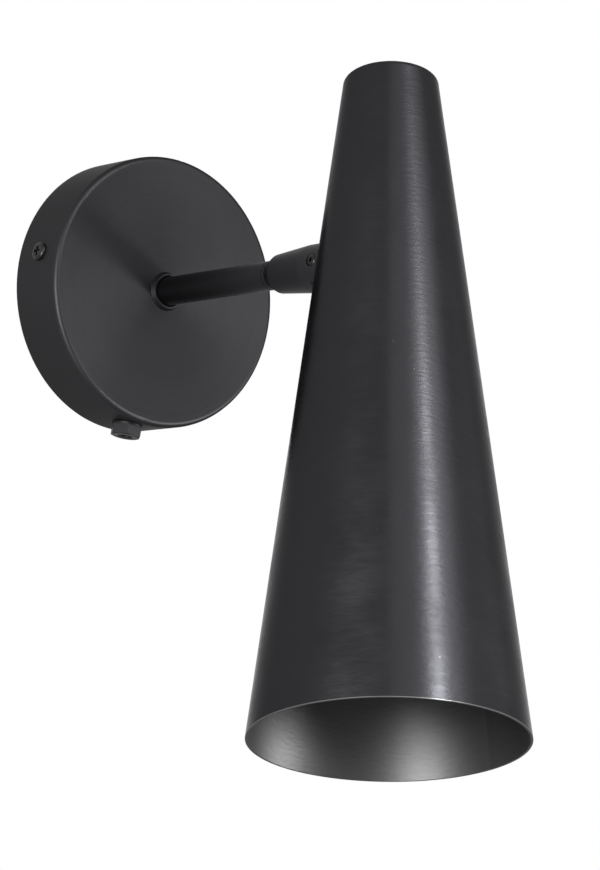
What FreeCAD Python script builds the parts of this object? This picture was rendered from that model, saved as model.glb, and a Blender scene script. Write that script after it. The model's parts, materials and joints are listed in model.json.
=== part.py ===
import FreeCAD, Part
import math
import os

V = FreeCAD.Vector

# All lengths are in millimetres. The origin is the centre of the wall cup on the wall.
# +Y points into the wall, so the lamp reaches out along -Y, and +Z is up.

# Fits and values shared by several pieces
running_fit = 0.05
thread_fit = 0.04
screw_play = 0.2
cut_overrun = 1.0
hexagon_sides = 6
full_turn = 360
half_turn = 180

# Wall cup
cup_diameter = 120.0
cup_depth = 28.9
cup_wall = 1.2
cup_edge_radius = 2.4
cup_inner_edge_radius = 1.2

# Side screws that hold the cup on its bracket
side_screw_from_wall = 14.9
side_screw_rise = 1.6
side_screw_diameter = 4.0
side_screw_length = 8.0
side_head_diameter = 8.2
side_head_height = 1.5
side_head_edge_radius = 1.1

# Wall bracket
bracket_thickness = 1.6
bracket_play = 0.4
strap_height = 20.0
tab_height = 14.0
tab_margin = 5.6
wing_width = 39.0
wing_margin = 2.5
wing_corner_radius = 4.0
wall_slot_spacing = 64.0
wall_slot_length = 12.0
wall_slot_width = 4.6

# Cord gland under the cup
gland_from_wall = 17.3
gland_flats = 12.4
gland_height = 4.6
gland_chamfer = 0.9
gland_flange_diameter = 13.4
gland_flange_thickness = 0.9
gland_thread_diameter = 9.0
gland_bore_diameter = 6.2
gland_mouth_chamfer = 0.6
gland_nut_flats = 12.0
gland_nut_thickness = 2.8
gland_nut_play = 0.1
gland_overrun = 1.2

# Arm
tube_diameter = 12.5
tube_length = 73.7
stem_diameter = 8.0
stem_bore_diameter = 5.5
stem_grip = 12.0
stem_overrun = 1.0
stem_washer_diameter = 18.0
stem_washer_thickness = 1.2
stem_nut_flats = 12.0
stem_nut_thickness = 4.0
nut_chamfer = 0.5
collar_diameter = 17.2
collar_rim_diameter = 15.4
collar_rim_width = 0.7
collar_height = 2.0
collar_dish_depth = 1.0
neck_ring_diameter = 12.2
neck_ring_thickness = 1.6

# Knuckle fork
knuckle_length = 35.8
knuckle_back_diameter = 12.1
knuckle_chamfer_length = 5.3
knuckle_shoulder_diameter = 16.8
knuckle_front_diameter = 20.4
knuckle_land_length = 5.9
knuckle_front_edge_radius = 0.8
ear_setback = 2.9
ear_radius = 8.0
fork_slot_width = 9.2
fork_slot_play = 0.3
swivel_head_diameter = 8.8
swivel_head_thickness = 2.0
swivel_washer_thickness = 0.5

# Pivot screws and washers
pivot_screw_diameter = 4.0
pivot_seat_spacing = 17.0
pivot_head_diameter = 5.5
pivot_head_height = 1.8
pivot_head_edge_radius = 1.2
pivot_socket_flats = 2.0
pivot_socket_depth = 1.0
pivot_washer_thickness = 0.4

# Shade cone
shade_length = 285.0
shade_top_diameter = 39.2
shade_bottom_diameter = 110.4
shade_wall = 1.0
shade_edge_radius = 2.5
shade_inner_edge_radius = 1.6
shade_tilt = 13.2

# Tongue that carries the shade
pivot_to_shade = 9.05
stud_drop = 72.8
eye_play = 0.2
eye_mouth_width = 5.0
tongue_flange_diameter = 12.4
tongue_flange_play = 0.3
tongue_bore_diameter = 5.0
saddle_thickness = 1.4
saddle_diameter = 13.0
tongue_nut_flats = 12.0
tongue_nut_thickness = 3.5

# Lampholder bracket
holder_strap_width = 12.0
holder_strap_thickness = 1.5
holder_strap_foot = 7.5
holder_bend_radius = 1.0
holder_pad_diameter = 17.0
holder_seat_drop = 20.0
nipple_diameter = 10.0
nipple_bore_diameter = 6.6
nipple_overrun = 0.8
nipple_nut_flats = 14.0
nipple_nut_thickness = 3.0

# Lampholder
holder_diameter = 25.0
holder_cap_height = 13.0
holder_cap_edge_radius = 5.0
holder_wall = 1.5
holder_cap_top = 3.5
holder_shell_height = 34.0
holder_lip_height = 2.0
holder_flange_diameter = 26.4
holder_flange_height = 3.0
socket_diameter = 14.0
socket_core_wall = 2.2
socket_core_height = 28.0
socket_core_top = 4.0
socket_sleeve_wall = 0.4
socket_sleeve_height = 20.0
contact_diameter = 5.0
contact_height = 1.5

# Bulb
bulb_cap_height = 17.0
bulb_cap_play = 0.1
bulb_insulator_height = 4.5
bulb_insulator_diameter = 10.0
bulb_tip_diameter = 4.6
bulb_tip_height = 1.0
bulb_globe_diameter = 45.0
bulb_length = 78.0
bulb_glass_wall = 0.8
bulb_neck_radius = 12.0

# Terminal block
pole_pitch = 10.0
block_height = 14.0
block_depth = 12.0
block_edge_radius = 0.8
sleeve_diameter = 5.0
sleeve_bore_diameter = 3.0
sleeve_recess = 1.5
sleeve_axis_depth = 5.4
terminal_screw_diameter = 2.6
terminal_screw_recess = 1.4
terminal_screw_spacing = 7.0
terminal_driver_slot = 0.6
block_screw_diameter = 3.0
block_head_diameter = 4.4
block_head_height = 1.6

# Earth screw
earth_screw_out = 14.0
earth_screw_drop = 6.6
earth_screw_above_block = 8.6
earth_screw_diameter = 4.0
earth_head_diameter = 7.6
earth_head_height = 2.4
earth_head_edge_radius = 1.4
earth_tag_diameter = 9.0
earth_tag_thickness = 0.8
earth_tag_tail = 9.0
earth_tag_tail_width = 4.0
earth_barrel_length = 4.0
earth_barrel_wall = 0.6

# Cables
arm_cable_diameter = 4.4
arm_cable_bend = 5.0
core_diameter = 1.9
core_lift = 2.0
sheath_gap = 7.0
holder_cable_diameter = 3.2
holder_cable_play = 0.4
holder_cable_bend = 3.5
holder_cable_knee = 3.0
holder_cable_rise = 12.0
earth_lead_bend = 3.0
earth_lead_straight = 1.2

# Shares of the sizes that they follow
recess_length_share = 0.52
recess_width_share = 0.15
recess_depth_share = 0.5
cap_thread_share = 0.92
cable_loop_share = 0.96
core_offset_share = 0.52


def cylinder(radius, low, high):
    return Part.makeCylinder(radius, high - low, V(0, 0, low))


def ring(outer_radius, inner_radius, low, high):
    bore = cylinder(inner_radius, low - cut_overrun, high + cut_overrun)
    return cylinder(outer_radius, low, high).cut(bore)


def box(x, y, z):
    corner = V(x[0], y[0], z[0])
    return Part.makeBox(x[1] - x[0], y[1] - y[0], z[1] - z[0], corner)


def hex_corner_radius(flats):
    return flats / 2 / math.cos(math.pi / hexagon_sides)


def hex_prism(flats, low, high):
    radius = hex_corner_radius(flats)
    step = 2 * math.pi / hexagon_sides
    angles = [step / 2 + step * side for side in range(hexagon_sides + 1)]
    points = [V(radius * math.cos(a), radius * math.sin(a), low) for a in angles]
    return Part.Face(Part.makePolygon(points)).extrude(V(0, 0, high - low))


def hexagon(flats, low, high, chamfer):
    """Hexagon along Z whose corners are turned off at its high end."""
    corner_radius = hex_corner_radius(flats)
    limit = turned([
        (0, low, 0),
        (corner_radius + chamfer, low, 0),
        (corner_radius + chamfer, high - chamfer, 0),
        (flats / 2 - chamfer / 2, high, 0),
        (0, high, 0),
    ])
    return hex_prism(flats, low, high).common(limit)


def rounded_edges(corners, closed):
    """Straight edges between the corners, with a tangent arc at each corner that has a radius."""
    edges = []
    count = len(corners)
    joins = []
    for index, (point, radius) in enumerate(corners):
        if radius == 0:
            joins.append((point, point, None))
            continue
        to_last = (corners[index - 1][0] - point).normalize()
        to_next = (corners[(index + 1) % count][0] - point).normalize()
        half_bend = (math.pi - to_last.getAngle(to_next)) / 2
        reach = radius * math.tan(half_bend)
        inward = (to_last + to_next).normalize()
        middle = point + inward * (radius / math.cos(half_bend) - radius)
        joins.append((point + to_last * reach, point + to_next * reach, middle))
    for index, (start, end, middle) in enumerate(joins):
        if middle is not None:
            edges.append(Part.Arc(start, middle, end).toShape())
        last = index == count - 1
        if last and not closed:
            break
        following = joins[(index + 1) % count][0]
        edges.append(Part.LineSegment(end, following).toShape())
    return edges


def turned(profile):
    """Solid of revolution about Z from (radius, height, edge radius) corners."""
    corners = [(V(radius, 0, height), edge) for radius, height, edge in profile]
    face = Part.Face(Part.Wire(rounded_edges(corners, True)))
    return face.revolve(V(0, 0, 0), V(0, 0, 1), full_turn)


def lead(corners, diameter):
    """Round cable along straight runs joined by tangent arcs."""
    path = Part.Wire(rounded_edges(corners, False))
    start = corners[0][0]
    direction = corners[1][0] - start
    section = Part.Wire(Part.Circle(start, direction, diameter / 2).toShape())
    solid = path.makePipeShell([section], True, False)
    expected = math.pi * diameter ** 2 / 4 * path.Length
    print("cable length", round(path.Length, 2), "volume ratio", round(solid.Volume / expected, 4))
    return solid


def placed(shape, placement):
    moved = shape.copy()
    moved.Placement = placement.multiply(moved.Placement)
    return moved


def turn_about_x(origin, degrees):
    return FreeCAD.Placement(origin, FreeCAD.Rotation(V(1, 0, 0), degrees))


def cross_recess(head_diameter, head_height):
    """Crossed slots in the outer end of a screw head that stands on Z = 0."""
    length = head_diameter * recess_length_share / 2
    width = head_diameter * recess_width_share / 2
    depth = (head_height * (1 - recess_depth_share), head_height + cut_overrun)
    first = box((-length, length), (-width, width), depth)
    second = box((-width, width), (-length, length), depth)
    return first.fuse(second)


def pan_screw(head_diameter, head_height, edge_radius, diameter, length):
    """Pan head on Z = 0 with its shank below and a cross recess."""
    body = turned([
        (0, -length, 0),
        (diameter / 2, -length, 0),
        (diameter / 2, 0, 0),
        (head_diameter / 2, 0, 0),
        (head_diameter / 2, head_height, edge_radius),
        (0, head_height, 0),
    ])
    return body.cut(cross_recess(head_diameter, head_height))


# Main places along the arm, as distances from the wall
cup_radius = cup_diameter / 2
cup_inner_radius = cup_radius - cup_wall
cup_inner_face = cup_depth - cup_wall
tube_end = cup_depth + tube_length
knuckle_back = tube_end + neck_ring_thickness
pivot_from_wall = knuckle_back + knuckle_length
knuckle_face = pivot_from_wall - ear_setback
fork_slot_radius = ear_radius + fork_slot_play
fork_slot_bottom = pivot_from_wall - fork_slot_radius
swivel_seat = fork_slot_bottom - swivel_head_thickness - swivel_washer_thickness
stem_hole_radius = stem_diameter / 2 + screw_play
stem_bore_radius = stem_bore_diameter / 2
tube_bore_radius = stem_diameter / 2 + thread_fit

# Places on the bracket, as radii and heights from the cup's centre
bracket_radius = cup_inner_radius - bracket_play
wing_top = math.sqrt(bracket_radius ** 2 - (wing_width / 2) ** 2) - wing_margin
earth_screw_height = wing_top - earth_screw_drop
block_top = earth_screw_height - earth_screw_above_block
block_bottom = block_top - block_height
block_middle = (block_bottom + block_top) / 2

# Placement whose Z runs out along the arm, from the wall
along_arm = turn_about_x(V(0, 0, 0), 90)

# Placements whose Z runs out of the cup through the side screws
left_turn = FreeCAD.Rotation(V(0, 1, 0), -90)
right_turn = FreeCAD.Rotation(V(0, 1, 0), 90)
left_screw = FreeCAD.Placement(V(-cup_radius, -side_screw_from_wall, side_screw_rise), left_turn)
right_screw = FreeCAD.Placement(V(cup_radius, -side_screw_from_wall, side_screw_rise), right_turn)

# Placement whose Z runs down through the gland, from the cup's centre, with corners at both sides
gland_turn = FreeCAD.Placement(V(0, 0, 0), FreeCAD.Rotation(V(0, 0, 1), half_turn / hexagon_sides))
along_gland = turn_about_x(V(0, -gland_from_wall, 0), half_turn).multiply(gland_turn)

# Shade frame: origin at the pivot, Z along the shade's axis before the tilt is applied
pivot = V(0, -pivot_from_wall, 0)
shade_frame = turn_about_x(pivot, -shade_tilt)
shade_slope = (shade_bottom_diameter - shade_top_diameter) / 2 / shade_length
shade_half_angle = math.atan(shade_slope)
slope_sin = math.sin(shade_half_angle)
slope_cos = math.cos(shade_half_angle)
shade_top_radius = shade_top_diameter / 2
stud_wall_radius = shade_top_radius + stud_drop * shade_slope
shade_axis_out = stud_wall_radius + pivot_to_shade * slope_cos
shade_top_height = stud_drop - pivot_to_shade * slope_sin

# Placement whose Z runs down the shade's axis, from the middle of its top
down_shade = shade_frame.multiply(turn_about_x(V(0, -shade_axis_out, shade_top_height), half_turn))

# Placement whose Z runs from the pivot through the tongue's stud into the shade
along_stud = shade_frame.multiply(turn_about_x(V(0, 0, 0), 90 + math.degrees(shade_half_angle)))


def make_wall_cup():
    """Spun cup, open towards the wall, with holes for stem, gland and side screws."""
    shell = turned([
        (cup_inner_radius, 0, 0),
        (cup_radius, 0, 0),
        (cup_radius, cup_depth, cup_edge_radius),
        (0, cup_depth, 0),
        (0, cup_inner_face, 0),
        (cup_inner_radius, cup_inner_face, cup_inner_edge_radius),
    ])
    shell = shell.cut(cylinder(stem_hole_radius, 0, cup_depth + cut_overrun))
    cup = placed(shell, along_arm)
    screw_hole = cylinder(side_screw_diameter / 2 + screw_play, -cup_radius / 2, cut_overrun)
    cup = cup.cut(placed(screw_hole, left_screw))
    cup = cup.cut(placed(screw_hole, right_screw))
    gland_hole = cylinder(gland_thread_diameter / 2 + screw_play, cup_radius / 2, cup_radius + cut_overrun)
    return cup.cut(placed(gland_hole, along_gland))


def make_side_screws():
    screw = pan_screw(
        side_head_diameter, side_head_height, side_head_edge_radius, side_screw_diameter, side_screw_length
    )
    return [placed(screw, left_screw), placed(screw, right_screw)]


def make_wall_bracket():
    """Strap on the wall with curved tabs at both ends and a wing for the terminal block."""
    tab_depth = side_screw_from_wall + tab_margin
    across = (-cup_radius, cup_radius)
    strap = cylinder(bracket_radius, 0, bracket_thickness)
    strap = strap.common(box(across, (-strap_height / 2, strap_height / 2), (0, cup_depth)))
    half_wing = wing_width / 2
    wing_corners = [
        (V(-half_wing, 0, 0), 0),
        (V(half_wing, 0, 0), 0),
        (V(half_wing, wing_top, 0), wing_corner_radius),
        (V(-half_wing, wing_top, 0), wing_corner_radius),
    ]
    wing_face = Part.Face(Part.Wire(rounded_edges(wing_corners, True)))
    plate = strap.fuse(wing_face.extrude(V(0, 0, bracket_thickness)))
    tabs = ring(bracket_radius, bracket_radius - bracket_thickness, 0, tab_depth)
    tabs = tabs.common(box(across, (-tab_height / 2, tab_height / 2), (0, cup_depth)))
    plate = plate.fuse(tabs)
    for side in (-1, 1):
        plate = plate.cut(make_wall_slot(side * wall_slot_spacing / 2))
    plate = plate.cut(placed(make_tapped_hole(block_screw_diameter), block_screw_place))
    plate = plate.cut(placed(make_tapped_hole(earth_screw_diameter), earth_screw_place))
    bracket = placed(plate.removeSplitter(), along_arm)
    tapped = cylinder(side_screw_diameter / 2 + thread_fit, -cup_radius / 2, 0)
    bracket = bracket.cut(placed(tapped, left_screw))
    return bracket.cut(placed(tapped, right_screw))


def make_wall_slot(centre):
    """Slot along X through the bracket's plate."""
    half_run = (wall_slot_length - wall_slot_width) / 2
    depth = (-cut_overrun, bracket_thickness + cut_overrun)
    slot = box((centre - half_run, centre + half_run), (-wall_slot_width / 2, wall_slot_width / 2), depth)
    for end in (-half_run, half_run):
        round_end = cylinder(wall_slot_width / 2, depth[0], depth[1])
        round_end.translate(V(centre + end, 0, 0))
        slot = slot.fuse(round_end)
    return slot


def make_tapped_hole(diameter):
    return cylinder(diameter / 2 + thread_fit, -bracket_thickness - cut_overrun, cut_overrun)


def make_cord_gland():
    """Hexagon gland with a round flange on the cup, a threaded shank inside it and a through bore."""
    flange_end = cup_radius + gland_flange_thickness
    gland_end = cup_radius + gland_flange_thickness + gland_height
    shank_start = cup_inner_radius - gland_nut_seat() - gland_nut_thickness - gland_overrun
    body = cylinder(gland_thread_diameter / 2, shank_start, flange_end)
    body = body.fuse(cylinder(gland_flange_diameter / 2, cup_radius, flange_end))
    body = body.fuse(hexagon(gland_flats, flange_end, gland_end, gland_chamfer))
    bore_radius = gland_bore_diameter / 2
    bore = turned([
        (0, shank_start - cut_overrun, 0),
        (bore_radius, shank_start - cut_overrun, 0),
        (bore_radius, gland_end - gland_mouth_chamfer, 0),
        (bore_radius + gland_mouth_chamfer + cut_overrun, gland_end + cut_overrun, 0),
        (0, gland_end + cut_overrun, 0),
    ])
    return placed(body.cut(bore).removeSplitter(), along_gland)


def gland_nut_seat():
    """How far inside the cup's inner wall the flat nut lies, because that wall is round."""
    corner = hex_corner_radius(gland_nut_flats)
    return cup_inner_radius - math.sqrt(cup_inner_radius ** 2 - corner ** 2) + gland_nut_play


def make_gland_nut():
    high = cup_inner_radius - gland_nut_seat()
    low = high - gland_nut_thickness
    nut = hexagon(gland_nut_flats, low, high, nut_chamfer)
    hole = cylinder(gland_thread_diameter / 2 + thread_fit, low - cut_overrun, high + cut_overrun)
    return placed(nut.cut(hole), along_gland)


def make_arm_collar():
    """Low bevelled ferrule on the cup, dished around the tube."""
    inner = tube_diameter / 2 + running_fit
    top = cup_depth + collar_height
    rim_radius = collar_rim_diameter / 2
    collar = turned([
        (inner, cup_depth, 0),
        (collar_diameter / 2, cup_depth, 0),
        (rim_radius, top, 0),
        (rim_radius - collar_rim_width, top, 0),
        (inner, top - collar_dish_depth, 0),
    ])
    return placed(collar, along_arm)


def make_arm_tube():
    tube = ring(tube_diameter / 2, tube_bore_radius, cup_depth, tube_end)
    return placed(tube, along_arm)


def make_arm_stem():
    start = cup_inner_face - stem_washer_thickness - stem_nut_thickness - stem_overrun
    return placed(ring(stem_diameter / 2, stem_bore_radius, start, cup_depth + stem_grip), along_arm)


def make_stem_washer():
    low = cup_inner_face - stem_washer_thickness
    return placed(ring(stem_washer_diameter / 2, stem_hole_radius, low, cup_inner_face), along_arm)


def make_stem_nut():
    low = stem_washer_thickness - cup_inner_face
    high = low + stem_nut_thickness
    nut = hexagon(stem_nut_flats, low, high, nut_chamfer)
    hole = cylinder(stem_diameter / 2 + thread_fit, low - cut_overrun, high + cut_overrun)
    return placed(nut.cut(hole), turn_about_x(V(0, 0, 0), -90))


def make_neck_ring():
    inner = stem_diameter / 2 + running_fit
    return placed(ring(neck_ring_diameter / 2, inner, tube_end, knuckle_back), along_arm)


def make_swivel_stem():
    """Hollow headed stem, screwed into the tube's end, that the knuckle turns on."""
    head_low = fork_slot_bottom - swivel_head_thickness
    stem = cylinder(stem_diameter / 2, tube_end - stem_grip, head_low)
    stem = stem.fuse(cylinder(swivel_head_diameter / 2, head_low, fork_slot_bottom))
    bore = cylinder(stem_bore_radius, tube_end - stem_grip - cut_overrun, fork_slot_bottom + cut_overrun)
    return placed(stem.cut(bore), along_arm)


def make_swivel_washer():
    inner = stem_diameter / 2 + running_fit
    high = swivel_seat + swivel_washer_thickness
    return placed(ring(swivel_head_diameter / 2, inner, swivel_seat, high), along_arm)


def make_knuckle_fork():
    """Turned cone and land that run on as two rounded ears, slotted for the tongue and bored for the stem."""
    land_start = knuckle_face - knuckle_land_length
    land_radius = knuckle_front_diameter / 2
    cone = turned([
        (0, knuckle_back, 0),
        (knuckle_back_diameter / 2, knuckle_back, 0),
        (knuckle_shoulder_diameter / 2, knuckle_back + knuckle_chamfer_length, 0),
        (land_radius, land_start, 0),
        (land_radius, knuckle_face, knuckle_front_edge_radius),
        (0, knuckle_face, 0),
    ])
    across = (-land_radius, land_radius)
    ears = box(across, (-ear_radius, ear_radius), (land_start, pivot_from_wall))
    ears = ears.fuse(across_pivot(ear_radius, across[0], across[1]))
    ears = ears.common(cylinder(land_radius, land_start, pivot_from_wall + ear_radius))
    fork = cone.fuse(ears)
    half_slot = fork_slot_width / 2
    fork = fork.cut(across_pivot(fork_slot_radius, -half_slot, half_slot))
    fork = fork.cut(box((-half_slot, half_slot), across, (knuckle_face, pivot_from_wall)))
    fork = fork.cut(cylinder(stem_diameter / 2 + running_fit, knuckle_back - cut_overrun, pivot_from_wall))
    fork = fork.cut(cylinder(swivel_head_diameter / 2 + running_fit, swivel_seat, pivot_from_wall))
    fork = fork.cut(across_pivot(pivot_screw_diameter / 2, across[0], across[1]))
    seat = pivot_seat_spacing / 2
    head_room = pivot_head_diameter / 2 + running_fit
    fork = fork.cut(across_pivot(head_room, seat, across[1]))
    fork = fork.cut(across_pivot(head_room, across[0], -seat))
    return placed(fork.removeSplitter(), along_arm)


def across_pivot(radius, low, high):
    """Cylinder along X through the pivot, in the arm's own placement."""
    return Part.makeCylinder(radius, high - low, V(low, 0, pivot_from_wall), V(1, 0, 0))


def pivot_side(side):
    """Placement whose Z runs out of one ear's screw seat along the pivot axis."""
    seat = pivot + V(side * pivot_seat_spacing / 2, 0, 0)
    return FreeCAD.Placement(seat, FreeCAD.Rotation(V(0, 1, 0), 90 * side))


def make_pivot_screws():
    """Short domed screws, one in each ear, whose plain tips turn in the tongue."""
    tip = pivot_seat_spacing / 2 - eye_mouth_width / 2
    screw = turned([
        (0, -tip, 0),
        (pivot_screw_diameter / 2, -tip, 0),
        (pivot_screw_diameter / 2, 0, 0),
        (pivot_head_diameter / 2, 0, 0),
        (pivot_head_diameter / 2, pivot_head_height, pivot_head_edge_radius),
        (0, pivot_head_height, 0),
    ])
    socket_floor = pivot_head_height - pivot_socket_depth
    socket = hex_prism(pivot_socket_flats, socket_floor, pivot_head_height + cut_overrun)
    screw = screw.cut(socket)
    return [placed(screw, pivot_side(side)) for side in (-1, 1)]


def make_pivot_washers():
    inner = pivot_screw_diameter / 2 + running_fit
    outer = ear_radius - eye_play
    low = (fork_slot_width - pivot_seat_spacing) / 2 - pivot_washer_thickness
    washer = ring(outer, inner, low, low + pivot_washer_thickness)
    return [placed(washer, pivot_side(side)) for side in (-1, 1)]


def shade_solid(inset):
    """Solid cone inside the shade's outer face, with every wall moved in by the inset."""
    shift = inset / slope_cos
    top = inset
    top_radius = shade_top_radius - shift + top * shade_slope
    bottom = shade_length + (cut_overrun if inset else 0)
    bottom_radius = shade_top_radius - shift + bottom * shade_slope
    edge = shade_inner_edge_radius if inset else shade_edge_radius
    return turned([(0, top, 0), (top_radius, top, edge), (bottom_radius, bottom, 0), (0, bottom, 0)])


def make_shade_cone():
    """Spun cone, closed at the top and open below, with the hole for the stud in its back."""
    cone = placed(shade_solid(0).cut(shade_solid(shade_wall)), down_shade)
    hole = cylinder(stem_diameter / 2 + screw_play, 0, pivot_to_shade + stud_wall_radius / 2)
    return cone.cut(placed(hole, along_stud))


def make_shade_tongue():
    """Eye between the ears, neck and curved flange on the shade, and a hollow threaded stud."""
    half_thickness = fork_slot_width / 2 - pivot_washer_thickness - running_fit
    eye_radius = ear_radius - eye_play
    eye = Part.makeCylinder(eye_radius, 2 * half_thickness, V(-half_thickness, 0, 0), V(1, 0, 0))
    neck = cylinder(half_thickness, 0, pivot_to_shade)
    flange_start = ear_radius + tongue_flange_play
    flange = cylinder(tongue_flange_diameter / 2, flange_start, pivot_to_shade + cut_overrun)
    tongue = placed(eye.fuse(neck).fuse(flange), along_stud)
    tongue = tongue.cut(placed(shade_solid(0), down_shade))
    stud_end = tongue_nut_seat() + tongue_nut_thickness
    stud = cylinder(stem_diameter / 2, flange_start, stud_end)
    tongue = tongue.fuse(placed(stud, along_stud))
    bore = cylinder(tongue_bore_diameter / 2, 0, stud_end + cut_overrun)
    tongue = tongue.cut(placed(bore, along_stud))
    half_mouth = eye_mouth_width / 2
    mouth_run = (-eye_radius, pivot_screw_diameter / 2)
    mouth = box((-half_mouth, half_mouth), (-eye_radius, eye_radius), mouth_run)
    tongue = tongue.cut(placed(mouth, along_stud))
    tip_radius = pivot_screw_diameter / 2 + running_fit
    tips = Part.makeCylinder(tip_radius, 2 * half_thickness, pivot - V(half_thickness, 0, 0), V(1, 0, 0))
    return tongue.cut(tips).removeSplitter()


def saddle_seat():
    return pivot_to_shade + shade_wall + saddle_thickness


def tongue_nut_seat():
    return saddle_seat() + holder_strap_thickness


def make_saddle_washer():
    """Washer whose outer face follows the inside of the shade."""
    inner = stem_diameter / 2 + screw_play
    washer = placed(ring(saddle_diameter / 2, inner, pivot_to_shade, saddle_seat()), along_stud)
    return washer.common(placed(shade_solid(shade_wall), down_shade))


def make_tongue_nut():
    low = tongue_nut_seat()
    high = low + tongue_nut_thickness
    nut = hexagon(tongue_nut_flats, low, high, nut_chamfer)
    hole = cylinder(stem_diameter / 2 + thread_fit, low - cut_overrun, high + cut_overrun)
    return placed(nut.cut(hole), along_stud)


def stud_point(depth, rise):
    """Point in the shade frame at a depth along the stud and a rise along the shade's wall."""
    return V(0, -depth * slope_cos - rise * slope_sin, rise * slope_cos - depth * slope_sin)


def rise_at(depth, height):
    """Rise along the shade's wall, at a depth along the stud, that reaches a height in the shade frame."""
    return (height + depth * slope_sin) / slope_cos


holder_seat_height = shade_top_height - holder_seat_drop
strap_top_height = holder_seat_height + holder_strap_thickness


def make_holder_bracket():
    """Bent strap: one leg on the stud, the other square to the shade's axis with a round pad."""
    back = saddle_seat()
    front = tongue_nut_seat()
    outer_bend = holder_bend_radius + holder_strap_thickness
    corners = [
        (stud_point(back, -holder_strap_foot), 0),
        (stud_point(back, rise_at(back, strap_top_height)), outer_bend),
        (V(0, -shade_axis_out, strap_top_height), 0),
        (V(0, -shade_axis_out, holder_seat_height), 0),
        (stud_point(front, rise_at(front, holder_seat_height)), holder_bend_radius),
        (stud_point(front, -holder_strap_foot), 0),
    ]
    side = Part.Face(Part.Wire(rounded_edges(corners, True)))
    side.translate(V(-holder_strap_width / 2, 0, 0))
    strap = placed(side.extrude(V(holder_strap_width, 0, 0)), shade_frame)
    pad = cylinder(holder_pad_diameter / 2, holder_seat_drop - holder_strap_thickness, holder_seat_drop)
    bracket = strap.fuse(placed(pad, down_shade))
    nipple_hole = cylinder(nipple_diameter / 2 + screw_play, 0, holder_seat_drop + cut_overrun)
    bracket = bracket.cut(placed(nipple_hole, down_shade))
    stud_hole = cylinder(stem_diameter / 2 + screw_play, 0, front + cut_overrun)
    return bracket.cut(placed(stud_hole, along_stud)).removeSplitter()


def make_holder_nipple():
    """Hollow threaded nipple from above the bracket into the lampholder's cap."""
    top = holder_seat_drop - holder_strap_thickness - nipple_nut_thickness - nipple_overrun
    bottom = holder_seat_drop + holder_cap_top
    return placed(ring(nipple_diameter / 2, nipple_bore_diameter / 2, top, bottom), down_shade)


def make_holder_nut():
    low = holder_strap_thickness - holder_seat_drop
    high = low + nipple_nut_thickness
    nut = hexagon(nipple_nut_flats, low, high, nut_chamfer)
    hole = cylinder(nipple_diameter / 2 + thread_fit, low - cut_overrun, high + cut_overrun)
    upward = down_shade.multiply(turn_about_x(V(0, 0, 0), half_turn))
    return placed(nut.cut(hole), upward)


shell_top = holder_seat_drop + holder_cap_height
shell_bottom = shell_top + holder_shell_height
holder_radius = holder_diameter / 2
socket_radius = socket_diameter / 2
sleeve_outer_radius = socket_radius + socket_sleeve_wall
core_radius = sleeve_outer_radius + socket_core_wall
core_bottom = shell_bottom - holder_lip_height
core_top = core_bottom - socket_core_height
socket_top = core_top + socket_core_top
bulb_top = socket_top + contact_height


def make_holder_cap():
    inner = holder_radius - holder_wall
    hole = nipple_diameter / 2 + thread_fit
    cap = turned([
        (hole, holder_seat_drop, 0),
        (holder_radius, holder_seat_drop, holder_cap_edge_radius),
        (holder_radius, shell_top, 0),
        (inner, shell_top, 0),
        (inner, holder_seat_drop + holder_cap_top, holder_cap_edge_radius - holder_wall),
        (hole, holder_seat_drop + holder_cap_top, 0),
    ])
    return placed(cap, down_shade)


def make_holder_shell():
    """Lower shell with a gripping flange, closed by a lip around the socket's mouth."""
    inner = core_radius + running_fit
    shell = turned([
        (inner, shell_top, 0),
        (holder_radius, shell_top, 0),
        (holder_radius, shell_bottom - holder_flange_height, 0),
        (holder_flange_diameter / 2, shell_bottom - holder_flange_height, 0),
        (holder_flange_diameter / 2, shell_bottom, 0),
        (sleeve_outer_radius, shell_bottom, 0),
        (sleeve_outer_radius, core_bottom, 0),
        (inner, core_bottom, 0),
    ])
    return placed(shell, down_shade)


def make_holder_core():
    core = turned([
        (0, core_top, 0),
        (core_radius, core_top, 0),
        (core_radius, core_bottom, 0),
        (sleeve_outer_radius, core_bottom, 0),
        (sleeve_outer_radius, socket_top, 0),
        (0, socket_top, 0),
    ])
    return placed(core, down_shade)


def make_socket_sleeve():
    low = core_bottom - socket_sleeve_height
    return placed(ring(sleeve_outer_radius, socket_radius, low, core_bottom), down_shade)


def make_centre_contact():
    return placed(cylinder(contact_diameter / 2, socket_top, bulb_top), down_shade)


cap_top = bulb_top + bulb_tip_height + bulb_insulator_height
cap_bottom = cap_top + bulb_cap_height
cap_radius = socket_radius - bulb_cap_play
neck_radius = cap_radius * cap_thread_share


def make_bulb_cap():
    """Screw cap with its insulator and tip, which rests on the centre contact."""
    cap = turned([
        (0, bulb_top, 0),
        (bulb_tip_diameter / 2, bulb_top, 0),
        (bulb_tip_diameter / 2, bulb_top + bulb_tip_height, 0),
        (bulb_insulator_diameter / 2, bulb_top + bulb_tip_height, 0),
        (cap_radius, cap_top, 0),
        (cap_radius, cap_bottom, 0),
        (0, cap_bottom, 0),
    ])
    return placed(cap, down_shade)


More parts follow.
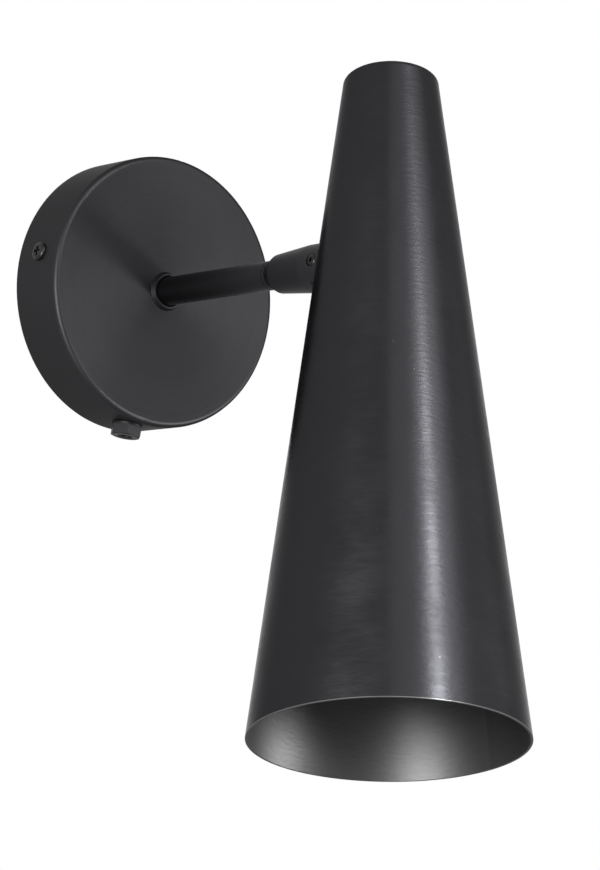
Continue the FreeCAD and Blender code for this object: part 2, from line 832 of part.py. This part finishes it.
def globe_profile(inset):
    """Bulb outline below its cap: neck, hollow curve and round globe, moved in by the inset."""
    radius = bulb_globe_diameter / 2 - inset
    centre = bulb_top + bulb_length - bulb_globe_diameter / 2
    start_radius = neck_radius - inset
    curve_radius = bulb_neck_radius + inset
    flare_start = math.sqrt((radius + curve_radius) ** 2 - (start_radius + curve_radius) ** 2)
    flare_centre = V(start_radius + curve_radius, 0, centre - flare_start)
    middle = V(0, 0, centre)
    to_globe = (middle - flare_centre).normalize()
    touch = flare_centre + to_globe * curve_radius
    flare_middle = flare_centre + (to_globe + V(-1, 0, 0)).normalize() * curve_radius
    bottom = V(0, 0, centre + radius)
    globe_middle = middle + ((touch - middle).normalize() + V(0, 0, 1)).normalize() * radius
    neck_end = V(start_radius, 0, centre - flare_start)
    edges = [
        Part.LineSegment(V(0, 0, cap_bottom), V(start_radius, 0, cap_bottom)).toShape(),
        Part.LineSegment(V(start_radius, 0, cap_bottom), neck_end).toShape(),
        Part.Arc(neck_end, flare_middle, touch).toShape(),
        Part.Arc(touch, globe_middle, bottom).toShape(),
        Part.LineSegment(bottom, V(0, 0, cap_bottom)).toShape(),
    ]
    return Part.Face(Part.Wire(edges)).revolve(V(0, 0, 0), V(0, 0, 1), full_turn)


def make_bulb_glass():
    return placed(globe_profile(0).cut(globe_profile(bulb_glass_wall)), down_shade)


def make_holder_cable():
    """Cable out of the stud, up beside the bracket, over it and down the nipple."""
    cable_room = holder_cable_diameter / 2 + holder_cable_play
    beside = holder_strap_width / 2 + cable_room
    from_axis = holder_flange_diameter / 2 + cable_room
    out = shade_axis_out - math.sqrt(from_axis ** 2 - beside ** 2)
    knee = stud_point(tongue_nut_seat() + tongue_nut_thickness + holder_cable_knee, 0)
    loop = from_axis / 2
    loop_height = strap_top_height + nipple_nut_thickness + nipple_overrun + loop
    corners = [
        (stud_point(saddle_seat(), 0), 0),
        (knee, holder_cable_bend),
        (V(beside, -out, knee.z + holder_cable_rise), holder_cable_bend),
        (V(beside, -out, loop_height), loop * cable_loop_share),
        (V(0, -shade_axis_out, loop_height), loop * cable_loop_share),
        (V(0, -shade_axis_out, holder_seat_height - holder_cap_top), 0),
    ]
    return placed(lead(corners, holder_cable_diameter), shade_frame)


# Terminal block places
block_back = bracket_thickness
block_front = block_back + block_depth
sleeve_axis = block_back + sleeve_axis_depth
pole_places = [-pole_pitch, 0, pole_pitch]
screw_heights = [block_middle - terminal_screw_spacing / 2, block_middle + terminal_screw_spacing / 2]

# Placements whose Z runs out of the bracket through the block's screw and the earth screw
unturned = FreeCAD.Rotation()
block_screw_place = FreeCAD.Placement(V(pole_pitch / 2, block_middle, bracket_thickness), unturned)
earth_screw_place = FreeCAD.Placement(V(-earth_screw_out, earth_screw_height, bracket_thickness), unturned)


def upright(radius, x, depth, low, high):
    """Cylinder along the block's height, in the arm's own placement."""
    return Part.makeCylinder(radius, high - low, V(x, low, depth), V(0, 1, 0))


def forward(radius, x, height, low, high):
    """Cylinder out from the wall, in the arm's own placement."""
    return Part.makeCylinder(radius, high - low, V(x, height, low))


def make_terminal_block():
    half_width = pole_pitch * len(pole_places) / 2
    low = block_bottom - cut_overrun
    high = block_top + cut_overrun
    front = block_front + cut_overrun
    corners = [
        (V(-half_width, block_bottom, block_back), 0),
        (V(half_width, block_bottom, block_back), 0),
        (V(half_width, block_bottom, block_front), block_edge_radius),
        (V(-half_width, block_bottom, block_front), block_edge_radius),
    ]
    block = Part.Face(Part.Wire(rounded_edges(corners, True))).extrude(V(0, block_height, 0))
    bore = sleeve_diameter / 2 + thread_fit
    for x in pole_places:
        block = block.cut(upright(bore, x, sleeve_axis, low, high))
        for height in screw_heights:
            well = terminal_screw_diameter / 2 + screw_play
            block = block.cut(forward(well, x, height, sleeve_axis, front))
    shank = forward(block_screw_diameter / 2 + screw_play, pole_pitch / 2, block_middle, 0, block_front)
    head_seat = block_front - block_head_height
    head = forward(block_head_diameter / 2 + screw_play, pole_pitch / 2, block_middle, head_seat, front)
    return placed(block.cut(shank).cut(head), along_arm)


def make_terminal_sleeves():
    sleeves = []
    for x in pole_places:
        low = block_bottom + sleeve_recess
        high = block_top - sleeve_recess
        sleeve = upright(sleeve_diameter / 2, x, sleeve_axis, low, high)
        bore = upright(sleeve_bore_diameter / 2, x, sleeve_axis, low - cut_overrun, high + cut_overrun)
        sleeve = sleeve.cut(bore)
        for height in screw_heights:
            tapped = terminal_screw_diameter / 2 + thread_fit
            sleeve = sleeve.cut(forward(tapped, x, height, sleeve_axis, block_front))
        sleeves.append(placed(sleeve, along_arm))
    return sleeves


def make_terminal_screws():
    screws = []
    radius = terminal_screw_diameter / 2
    high = block_front - terminal_screw_recess
    half_slot = terminal_driver_slot / 2
    for x in pole_places:
        for height in screw_heights:
            screw = forward(radius, x, height, sleeve_axis + core_diameter / 2, high)
            slot_height = (height - half_slot, height + half_slot)
            slot = box((x - radius, x + radius), slot_height, (high - radius, high))
            screws.append(placed(screw.cut(slot), along_arm))
    return screws


def make_block_screw():
    head_low = block_front - block_head_height
    x = pole_pitch / 2
    screw = forward(block_screw_diameter / 2, x, block_middle, 0, head_low)
    head = forward(block_head_diameter / 2, x, block_middle, head_low, block_front)
    recess = cross_recess(block_head_diameter, block_head_height)
    recess.translate(V(x, block_middle, head_low))
    return placed(screw.fuse(head).cut(recess), along_arm)


def make_earth_screw():
    length = bracket_thickness + earth_tag_thickness
    screw = pan_screw(
        earth_head_diameter, earth_head_height, earth_head_edge_radius, earth_screw_diameter, length
    )
    place = earth_screw_place.multiply(FreeCAD.Placement(V(0, 0, earth_tag_thickness), unturned))
    return placed(screw, along_arm.multiply(place))


def make_earth_tag():
    """Ring tag under the earth screw, with a crimp barrel that holds the earth lead."""
    tag = cylinder(earth_tag_diameter / 2, 0, earth_tag_thickness)
    half_tail = earth_tag_tail_width / 2
    tag = tag.fuse(box((0, earth_tag_tail), (-half_tail, half_tail), (0, earth_tag_thickness)))
    tag = tag.cut(cylinder(earth_screw_diameter / 2 + screw_play, -cut_overrun, bracket_thickness))
    barrel_start = V(earth_tag_tail - earth_barrel_length, 0, barrel_axis_height())
    bore_radius = core_diameter / 2 + thread_fit
    barrel = Part.makeCylinder(bore_radius + earth_barrel_wall, earth_barrel_length, barrel_start, V(1, 0, 0))
    bore = Part.makeCylinder(bore_radius, earth_barrel_length, barrel_start, V(1, 0, 0))
    tag = tag.fuse(barrel).cut(bore)
    return placed(tag.removeSplitter(), along_arm.multiply(earth_screw_place))


def barrel_axis_height():
    return earth_tag_thickness + core_diameter / 2 + thread_fit


sheath_top = block_bottom - sheath_gap


def make_arm_cable():
    """Sheathed cable from below the block, round one bend and out through stem, tube and swivel."""
    corners = [
        (V(0, sheath_top, sleeve_axis), 0),
        (V(0, 0, sleeve_axis), arm_cable_bend),
        (V(0, 0, fork_slot_bottom), 0),
    ]
    return placed(lead(corners, arm_cable_diameter), along_arm)


def core_corners(side):
    """Way of one core from the sheath's end, out to its pole and up into the sleeve."""
    offset = side * core_diameter * core_offset_share
    pole = side * pole_pitch
    return [
        (V(offset, sheath_top, sleeve_axis), 0),
        (V(offset, sheath_top + core_lift, sleeve_axis), core_diameter),
        (V(pole, block_bottom - core_lift, sleeve_axis), core_diameter),
        (V(pole, block_middle, sleeve_axis), 0),
    ]


def make_cable_cores():
    return [placed(lead(core_corners(side), core_diameter), along_arm) for side in (-1, 1)]


def make_earth_lead():
    """Lead from the middle pole, over the top of the block and down into the tag's barrel."""
    height = bracket_thickness + barrel_axis_height()
    end = earth_tag_tail - earth_barrel_length - earth_screw_out
    corners = [
        (V(0, block_middle, sleeve_axis), 0),
        (V(0, earth_screw_height, sleeve_axis), earth_lead_bend),
        (V(end + earth_barrel_length + earth_lead_straight, earth_screw_height, height), core_diameter),
        (V(end, earth_screw_height, height), 0),
    ]
    return placed(lead(corners, core_diameter), along_arm)


pieces = {
    "wall_cup": make_wall_cup,
    "wall_bracket": make_wall_bracket,
    "side_screws": make_side_screws,
    "cord_gland": make_cord_gland,
    "gland_nut": make_gland_nut,
    "arm_collar": make_arm_collar,
    "arm_tube": make_arm_tube,
    "arm_stem": make_arm_stem,
    "stem_washer": make_stem_washer,
    "stem_nut": make_stem_nut,
    "terminal_block": make_terminal_block,
    "terminal_sleeves": make_terminal_sleeves,
    "terminal_screws": make_terminal_screws,
    "block_screw": make_block_screw,
    "earth_screw": make_earth_screw,
    "earth_tag": make_earth_tag,
    "earth_lead": make_earth_lead,
    "arm_cable": make_arm_cable,
    "cable_cores": make_cable_cores,
    "neck_ring": make_neck_ring,
    "swivel_stem": make_swivel_stem,
    "swivel_washer": make_swivel_washer,
    "knuckle_fork": make_knuckle_fork,
    "pivot_screws": make_pivot_screws,
    "pivot_washers": make_pivot_washers,
    "shade_cone": make_shade_cone,
    "shade_tongue": make_shade_tongue,
    "saddle_washer": make_saddle_washer,
    "tongue_nut": make_tongue_nut,
    "holder_bracket": make_holder_bracket,
    "holder_nipple": make_holder_nipple,
    "holder_nut": make_holder_nut,
    "holder_cap": make_holder_cap,
    "holder_shell": make_holder_shell,
    "holder_core": make_holder_core,
    "socket_sleeve": make_socket_sleeve,
    "centre_contact": make_centre_contact,
    "bulb_cap": make_bulb_cap,
    "bulb_glass": make_bulb_glass,
    "holder_cable": make_holder_cable,
}

os.makedirs("parts", exist_ok=True)
for name, make in pieces.items():
    made = make()
    shape = Part.makeCompound(made) if isinstance(made, list) else made
    shape.exportStep(f"parts/{name}.step")
    limits = shape.BoundBox
    print(name, len(shape.Solids), shape.isValid(), round(shape.Volume, 1), limits)
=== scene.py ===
import json
import math

import bpy
from mathutils import Euler, Matrix, Vector

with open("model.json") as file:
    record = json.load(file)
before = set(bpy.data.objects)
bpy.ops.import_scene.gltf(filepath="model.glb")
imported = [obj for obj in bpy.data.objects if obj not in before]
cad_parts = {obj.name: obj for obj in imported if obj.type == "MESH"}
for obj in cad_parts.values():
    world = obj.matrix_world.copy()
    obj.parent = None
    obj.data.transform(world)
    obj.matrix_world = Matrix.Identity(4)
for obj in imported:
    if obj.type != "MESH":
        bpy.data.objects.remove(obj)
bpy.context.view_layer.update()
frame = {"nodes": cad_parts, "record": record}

# Distances are in metres and angles in degrees. The lamp reaches from its wall cup along -Y.
joints = {joint["name"]: joint for joint in frame["record"]["behaviour"]["joints"]}
PIVOT = Vector(joints["shade_tilt"]["pos_m"])
CUP_FACE = min(vertex.co.y for vertex in frame["nodes"]["wall_cup"].data.vertices)

# Shade: how far its axis lies in front of the pivot and its top above it, in the tilted frame,
# and the outer radii that its slope runs between
SHADE_TILT = 13.2
SHADE_AXIS_OUT = 0.03765
SHADE_TOP = 0.0717
SHADE_LENGTH = 0.285
SHADE_TOP_RADIUS = 0.0196
SHADE_MOUTH_RADIUS = 0.0552
SHADE_SLOPE = (SHADE_MOUTH_RADIUS - SHADE_TOP_RADIUS) / SHADE_LENGTH

# Camera, found from the outlines of the cup and the shade
CAMERA_TARGET = Vector((0.04113, -0.08727, -0.05804))
CAMERA_AZIMUTH = -38.17
CAMERA_ELEVATION = -12.12
CAMERA_ROLL = 9.58
CAMERA_DISTANCE = 1.44188
CAMERA_LENS = 138.58
SENSOR_WIDTH = 36

# Soft boxes: azimuth and elevation from the camera's target, distance, width, height and
# radiance in times white. The two low ones light the inside of the shade.
SOFT_BOXES = {
    "key": (-4, 30, 1.0, 0.12, 0.36, 30.0),
    "key_halo": (1, 34, 1.02, 0.5, 0.6, 2.3),
    "key_tail": (-8, 38, 1.06, 1.2, 0.9, 1.0),
    "front_right": (50, 20, 1.3, 1.0, 0.9, 0.4),
    "low_left": (-62, -13, 0.8, 0.36, 0.18, 52.0),
    "low_right": (46, -14, 0.8, 0.34, 0.18, 48.0),
}

# Strength of the white world as a light; where the world itself is seen, it is 1
AMBIENT = 0.85

FLOOR_HALF_WIDTH = 8.0
FLOOR_HEIGHT = -2.2

# Sockets of the Mix node for numbers and for colours
MIX_FACTOR = 0
MIX_NUMBERS = (2, 3)
MIX_COLOURS = (6, 7)
MIXED_NUMBER = 0
MIXED_COLOUR = 2

# Levels of a noise between which one look fades into the other
LINE_FADE = (0.3, 0.8)
CLOUD_FADE = (0.2, 0.8)
PATCH_FADE = (0.3, 0.7)


def outward(azimuth, elevation):
    """Unit vector from the object towards an azimuth from -Y and an elevation."""
    turn, lift = math.radians(azimuth), math.radians(elevation)
    return Vector((math.sin(turn) * math.cos(lift), -math.cos(turn) * math.cos(lift), math.sin(lift)))


def make_camera():
    back = outward(CAMERA_AZIMUTH, CAMERA_ELEVATION)
    turn = math.radians(CAMERA_AZIMUTH)
    level = Vector((math.cos(turn), math.sin(turn), 0))
    upright = back.cross(level)
    roll = math.radians(CAMERA_ROLL)
    right = math.cos(roll) * level + math.sin(roll) * upright
    up = math.cos(roll) * upright - math.sin(roll) * level
    data = bpy.data.cameras.new("photo_camera")
    data.sensor_width = SENSOR_WIDTH
    data.lens = CAMERA_LENS
    camera = bpy.data.objects.new("photo_camera", data)
    bpy.context.scene.collection.objects.link(camera)
    turned = Matrix((right, up, back)).transposed().to_4x4()
    camera.matrix_world = Matrix.Translation(CAMERA_TARGET + back * CAMERA_DISTANCE) @ turned
    bpy.context.scene.camera = camera


def soft_box(name, azimuth, elevation, distance, width, height, radiance):
    """Flat white lamp that faces the object."""
    data = bpy.data.lights.new(name, "AREA")
    data.shape = "RECTANGLE"
    data.size = width
    data.size_y = height
    data.energy = radiance * math.pi * width * height
    lamp = bpy.data.objects.new(name, data)
    bpy.context.scene.collection.objects.link(lamp)
    away = outward(azimuth, elevation)
    lamp.location = CAMERA_TARGET + away * distance
    lamp.rotation_mode = "QUATERNION"
    lamp.rotation_quaternion = away.to_track_quat("Z", "Y")


def make_world():
    """White where it is seen, also in metal and glass, and a softer light on everything else."""
    world = bpy.data.worlds.new("studio")
    world.use_nodes = True
    bpy.context.scene.world = world
    tree = world.node_tree
    background = tree.nodes["Background"]
    background.inputs["Color"].default_value = (1, 1, 1, 1)
    path = tree.nodes.new("ShaderNodeLightPath")
    seen = path.outputs["Is Camera Ray"]
    for ray in ("Is Glossy Ray", "Is Transmission Ray"):
        either = tree.nodes.new("ShaderNodeMath")
        either.operation = "MAXIMUM"
        tree.links.new(seen, either.inputs[0])
        tree.links.new(path.outputs[ray], either.inputs[1])
        seen = either.outputs[0]
    strength = tree.nodes.new("ShaderNodeMix")
    for socket, value in zip(MIX_NUMBERS, (AMBIENT, 1.0)):
        strength.inputs[socket].default_value = value
    tree.links.new(seen, strength.inputs[MIX_FACTOR])
    tree.links.new(strength.outputs[MIXED_NUMBER], background.inputs["Strength"])


class Graph:
    """A material and short ways to add nodes to it."""

    def __init__(self, name):
        self.material = bpy.data.materials.new(name)
        self.material.use_nodes = True
        self.tree = self.material.node_tree
        self.shader = self.tree.nodes["Principled BSDF"]

    def node(self, kind, inputs=(), **settings):
        made = self.tree.nodes.new(kind)
        for name, value in settings.items():
            setattr(made, name, value)
        for socket, value in dict(inputs).items():
            self.feed(made.inputs[socket], value)
        return made

    def feed(self, socket, value):
        if isinstance(value, bpy.types.NodeSocket):
            self.tree.links.new(value, socket)
        else:
            socket.default_value = value

    def set(self, **values):
        """Set or link the shader's own sockets, named in lower case with underscores."""
        for name, value in values.items():
            self.feed(self.shader.inputs[name.replace("_", " ").title()], value)

    def math(self, operation, *values):
        inputs = dict(enumerate(values))
        return self.node("ShaderNodeMath", inputs, operation=operation).outputs[0]

    def place(self, location=(0, 0, 0), tilt=0):
        """Position in the object's own rest frame, turned to run along a part's axis."""
        at = self.node("ShaderNodeTexCoord").outputs["Object"]
        inputs = {"Vector": at, "Location": location, "Rotation": (math.radians(tilt), 0, 0)}
        return self.node("ShaderNodeMapping", inputs, vector_type="TEXTURE").outputs[0]

    def stretch(self, vector, scale):
        inputs = {"Vector": vector, "Scale": scale}
        return self.node("ShaderNodeMapping", inputs, vector_type="POINT").outputs[0]

    def noise(self, vector, scale=1.0, detail=2.0, roughness=0.5):
        inputs = {"Vector": vector, "Scale": scale, "Detail": detail, "Roughness": roughness}
        return self.node("ShaderNodeTexNoise", inputs).outputs["Fac"]

    def span(self, value, low, high, to_low=0.0, to_high=1.0):
        inputs = {"Value": value, "From Min": low, "From Max": high, "To Min": to_low, "To Max": to_high}
        return self.node("ShaderNodeMapRange", inputs).outputs[0]

    def mix(self, factor, first, second):
        made = self.node("ShaderNodeMix", data_type="RGBA")
        self.feed(made.inputs[MIX_FACTOR], factor)
        for socket, colour in zip(MIX_COLOURS, (first, second)):
            self.feed(made.inputs[socket], colour)
        return made.outputs[MIXED_COLOUR]

    def radius(self, first, second):
        """Distance from an axis, of two coordinates across it."""
        squares = self.math("ADD", self.math("MULTIPLY", first, first), self.math("MULTIPLY", second, second))
        return self.math("SQRT", squares)

    def bump(self, height, distance, normal=None):
        """Normal of a relief, laid over another relief where a normal is given."""
        inputs = {"Height": height, "Distance": distance}
        if normal is not None:
            inputs["Normal"] = normal
        return self.node("ShaderNodeBump", inputs).outputs[0]

    def split(self, vector):
        return self.node("ShaderNodeSeparateXYZ", {0: vector}).outputs

    def join(self, x, y, z):
        return self.node("ShaderNodeCombineXYZ", {0: x, 1: y, 2: z}).outputs[0]

    def axis_tangent(self, direction):
        """Direction fixed to the part, for the stretch of a brushed highlight."""
        ways = {"vector_type": "VECTOR", "convert_from": "OBJECT", "convert_to": "WORLD"}
        return self.node("ShaderNodeVectorTransform", {"Vector": direction}, **ways).outputs[0]


def grey(value, cool=0.0):
    """Linear colour from an sRGB level of 0 to 255, a little bluer when cool is above 0."""
    level = value / 255
    linear = ((level + 0.055) / 1.055) ** 2.4 if level > 0.04045 else level / 12.92
    return (linear * (1 - cool / 2), linear * (1 - cool / 2), linear * (1 + cool), 1)


def edge_tint(level):
    """Colour that a metal takes where it is seen at a grazing angle."""
    return (level, level, level, 1)


def make_floor():
    mesh = bpy.data.meshes.new("floor")
    half, low = FLOOR_HALF_WIDTH, FLOOR_HEIGHT
    corners = [(-half, -half, low), (half, -half, low), (half, half, low), (-half, half, low)]
    mesh.from_pydata(corners, [], [(0, 1, 2, 3)])
    floor = bpy.data.objects.new("floor", mesh)
    bpy.context.scene.collection.objects.link(floor)
    g = Graph("pale_floor")
    g.set(base_color=(0.9, 0.9, 0.9, 1), roughness=0.7)
    mesh.materials.append(g.material)


def shade_zones(g, x, y, z):
    """Masks of the shade's inside and of its bare cut edge, whose thin pale band is partly a painted
    highlight, from depths below the outer face.
    """
    inside_depths = (0.0004, 0.0007)
    edge_depths = (0.0003, 0.0005)
    heights_above_mouth = (0.0003, 0.0001)
    outer = g.math("MULTIPLY_ADD", z, -SHADE_SLOPE, SHADE_TOP_RADIUS)
    depth = g.math("SUBTRACT", outer, g.radius(x, y))
    inside = g.span(depth, *inside_depths)
    end = g.span(z, *(height - SHADE_LENGTH for height in heights_above_mouth))
    corner = g.span(depth, *edge_depths, 1.0, 0.0)
    return inside, g.math("MULTIPLY", end, corner)


def shade_steel():
    """Blackened steel, brushed round the cone, with a paler satin inside and a bare cut edge painted pale,
    partly as a painted highlight.
    """
    line_cells, stroke_cells, mottle_cells = (45, 45, 3200), (110, 110, 420), (240, 240, 800)
    line_height, stroke_height, mottle_height = 0.00001, 0.00003, 0.00006
    sway_cells, sway_height = 30, 0.003
    cloud_cells, patch_cells, speck_cells = 28, 44, 700
    g = Graph("shade_steel")
    turn = Euler((math.radians(-SHADE_TILT), 0, 0)).to_matrix()
    top = PIVOT + turn @ Vector((0, -SHADE_AXIS_OUT, SHADE_TOP))
    at = g.place(top, -SHADE_TILT)
    x, y, z = g.split(at)
    across = g.math("MULTIPLY_ADD", g.noise(at, sway_cells, 1), sway_height, z)
    brushed = g.join(x, y, across)
    lines = g.noise(g.stretch(brushed, line_cells), 1, 3, 0.6)
    strokes = g.noise(g.stretch(brushed, stroke_cells))
    mottle = g.noise(g.stretch(at, mottle_cells))
    cloud = g.noise(at, cloud_cells, 3, 0.55)
    specks = g.span(g.noise(at, speck_cells, 0), 0.91, 0.94, 0.0, 0.6)
    dark = g.mix(cloud, grey(44, 0.05), grey(49, 0.07))
    outside = g.mix(g.span(lines, *LINE_FADE, 0.0, 0.3), dark, grey(50, 0.05))
    worn = g.mix(specks, outside, grey(110))
    satin = g.mix(g.span(lines, *LINE_FADE, 0.0, 0.5), grey(80, 0.01), grey(88, -0.01))
    inside, bare_edge_and_highlight = shade_zones(g, x, y, z)
    # Pale band at the mouth: the bare cut edge, narrowed to a thin line that is partly a painted highlight
    g.set(base_color=g.mix(bare_edge_and_highlight, g.mix(inside, worn, satin), grey(112)), metallic=1.0)
    g.set(anisotropic=0.5, specular_tint=edge_tint(0.53), tangent=g.axis_tangent(turn @ Vector((0, 0, 1))))
    patches = g.span(g.noise(at, patch_cells), 0.35, 0.65, 0.26, 0.34)
    outer_roughness = g.math("ADD", patches, g.span(strokes, 0.25, 0.75, -0.03, 0.03))
    g.set(roughness=g.span(inside, 0, 1, outer_roughness, 0.52))
    worked = g.bump(mottle, mottle_height, g.bump(lines, line_height))
    g.set(normal=g.bump(strokes, stroke_height, worked))
    return g.material


def cup_steel():
    """The same blackened steel, brushed in circles, with its front face painted darker than its side as
    painted shade.
    """
    circle_cells, sway_cells, cloud_cells = 1600.0, (22, 700, 22), 30
    line_height = 0.000008
    face_depths = (0.002, 0.001)
    g = Graph("cup_steel")
    at = g.place()
    x, y, z = g.split(at)
    circles = g.join(g.math("MULTIPLY", g.radius(x, z), circle_cells), y, 0.0)
    sums = {0: circles, 1: g.stretch(at, sway_cells)}
    swayed = g.node("ShaderNodeVectorMath", sums, operation="ADD").outputs[0]
    lines = g.noise(swayed, 1, 3, 0.6)
    cloud = g.noise(at, cloud_cells, 3, 0.55)
    face = g.span(y, *(CUP_FACE + depth for depth in face_depths))
    # Painted light and shade: a lighter copy of the steel on the side and a darker copy on the front face
    side_painted_light = g.mix(cloud, grey(53, 0.03), grey(58, 0.04))
    face_painted_shade = g.mix(cloud, grey(40, 0.04), grey(44, 0.05))
    dark = g.mix(face, side_painted_light, face_painted_shade)
    g.set(base_color=g.mix(g.span(lines, *LINE_FADE, 0.0, 0.3), dark, grey(54, 0.04)), metallic=1.0)
    g.set(roughness=g.span(cloud, *CLOUD_FADE, 0.46, 0.52), anisotropic=0.4, specular_tint=edge_tint(0.5))
    around = g.join(g.math("MULTIPLY", z, -1.0), 0.0, x)
    g.set(tangent=g.axis_tangent(around), normal=g.bump(lines, line_height))
    return g.material


def black_steel():
    """Satin black finish on turned steel."""
    cloud_cells, grain_cells, grain_height = 35, 1400, 0.00001
    g = Graph("black_steel")
    at = g.place()
    cloud = g.noise(at, cloud_cells, 3)
    grain = g.noise(at, grain_cells, 2, 0.6)
    g.set(base_color=g.mix(cloud, grey(46, 0.05), grey(50, 0.05)), metallic=1.0)
    g.set(specular_tint=edge_tint(0.75), roughness=g.span(cloud, *CLOUD_FADE, 0.4, 0.48))
    g.set(normal=g.bump(grain, grain_height))
    return g.material


def plain_metal(name, low, high, low_roughness, high_roughness):
    """Small hardware in bare or plated metal, with patches in its plating and turned lines."""
    patch_cells, scratch_cells, scratch_height = 220, (260, 2600, 260), 0.00002
    g = Graph(name)
    at = g.place()
    patches = g.noise(at, patch_cells, 4, 0.6)
    scratches = g.noise(g.stretch(at, scratch_cells))
    tone = g.mix(g.span(patches, *PATCH_FADE), low, high)
    g.set(base_color=tone, metallic=1.0, normal=g.bump(scratches, scratch_height))
    g.set(roughness=g.span(patches, *PATCH_FADE, low_roughness, high_roughness))
    return g.material


def plain_plastic(name, low, high, roughness, grain_cells=900):
    """Moulded plastic or fibre with a fine grain."""
    cloud_cells, grain_height, roughness_swing = 90, 0.00003, 0.05
    g = Graph(name)
    at = g.place()
    cloud = g.noise(at, cloud_cells, 3)
    grain = g.noise(at, grain_cells)
    g.set(base_color=g.mix(cloud, low, high), normal=g.bump(grain, grain_height))
    limits = (roughness - roughness_swing, roughness + roughness_swing)
    g.set(roughness=g.span(grain, *PATCH_FADE, *limits))
    return g.material


def lead_sheath(name, colour):
    """Smooth sheath of a lead, in a colour that a function makes from position and cloud."""
    cloud_cells, cloud_height = 300, 0.00003
    g = Graph(name)
    at = g.place()
    cloud = g.noise(at, cloud_cells)
    g.set(base_color=colour(g, at, cloud), roughness=0.4, normal=g.bump(cloud, cloud_height))
    return g.material


def core_colour(g, at, cloud):
    """Brown on one core and blue on the other."""
    side = g.math("GREATER_THAN", g.split(at)[0], 0.0)
    brown = g.mix(cloud, (0.09, 0.035, 0.012, 1), (0.13, 0.05, 0.02, 1))
    blue = g.mix(cloud, (0.02, 0.09, 0.3, 1), (0.03, 0.13, 0.4, 1))
    return g.mix(side, brown, blue)


def earth_colour(g, at, cloud):
    """Green with slanting yellow stripes."""
    radians_per_metre = 1500.0
    x, y, z = g.split(at)
    along = g.math("ADD", g.math("ADD", x, y), z)
    wave = g.math("SINE", g.math("MULTIPLY", along, radians_per_metre))
    green = g.mix(cloud, (0.03, 0.2, 0.03, 1), (0.05, 0.27, 0.05, 1))
    return g.mix(g.span(wave, 0.1, 0.3), green, (0.75, 0.6, 0.03, 1))


def opal_glass():
    """White glass that scatters a little light."""
    cloud_cells = 60
    g = Graph("opal_glass")
    cloud = g.noise(g.place(), cloud_cells)
    g.set(base_color=g.mix(cloud, (0.8, 0.8, 0.78, 1), (0.86, 0.86, 0.85, 1)))
    g.set(roughness=g.span(cloud, *PATCH_FADE, 0.14, 0.2), subsurface_weight=0.15)
    return g.material


make_camera()
make_world()
make_floor()
for name, values in SOFT_BOXES.items():
    soft_box(name, *values)
bpy.context.scene.view_settings.view_transform = "Standard"

materials = {
    "shade_steel": shade_steel(),
    "cup_steel": cup_steel(),
    "black_steel": black_steel(),
    "black_screw": plain_metal("black_screw", grey(38), grey(50), 0.3, 0.42),
    "zinc_steel": plain_metal("zinc_steel", grey(150, 0.05), grey(178, 0.03), 0.28, 0.42),
    "brass": plain_metal("brass", (0.55, 0.37, 0.12, 1), (0.66, 0.46, 0.17, 1), 0.25, 0.38),
    "tinned_copper": plain_metal("tinned_copper", grey(170), grey(195), 0.25, 0.4),
    "black_plastic": plain_plastic("black_plastic", grey(30), grey(38), 0.42),
    "pale_plastic": plain_plastic("pale_plastic", (0.66, 0.63, 0.55, 1), (0.72, 0.69, 0.62, 1), 0.45),
    "fibre": plain_plastic("fibre", (0.05, 0.02, 0.012, 1), (0.08, 0.035, 0.02, 1), 0.7),
    "cable_sheath": plain_plastic("cable_sheath", grey(205), grey(222), 0.5, 500),
    "core_sheath": lead_sheath("core_sheath", core_colour),
    "earth_sheath": lead_sheath("earth_sheath", earth_colour),
    "opal_glass": opal_glass(),
}
for part in frame["record"]["subparts"]:
    node = frame["nodes"][part["node"]]
    node.data.materials.clear()
    look = "cup_steel" if part["node"] == "wall_cup" else part["material_slot"]
    node.data.materials.append(materials[look])
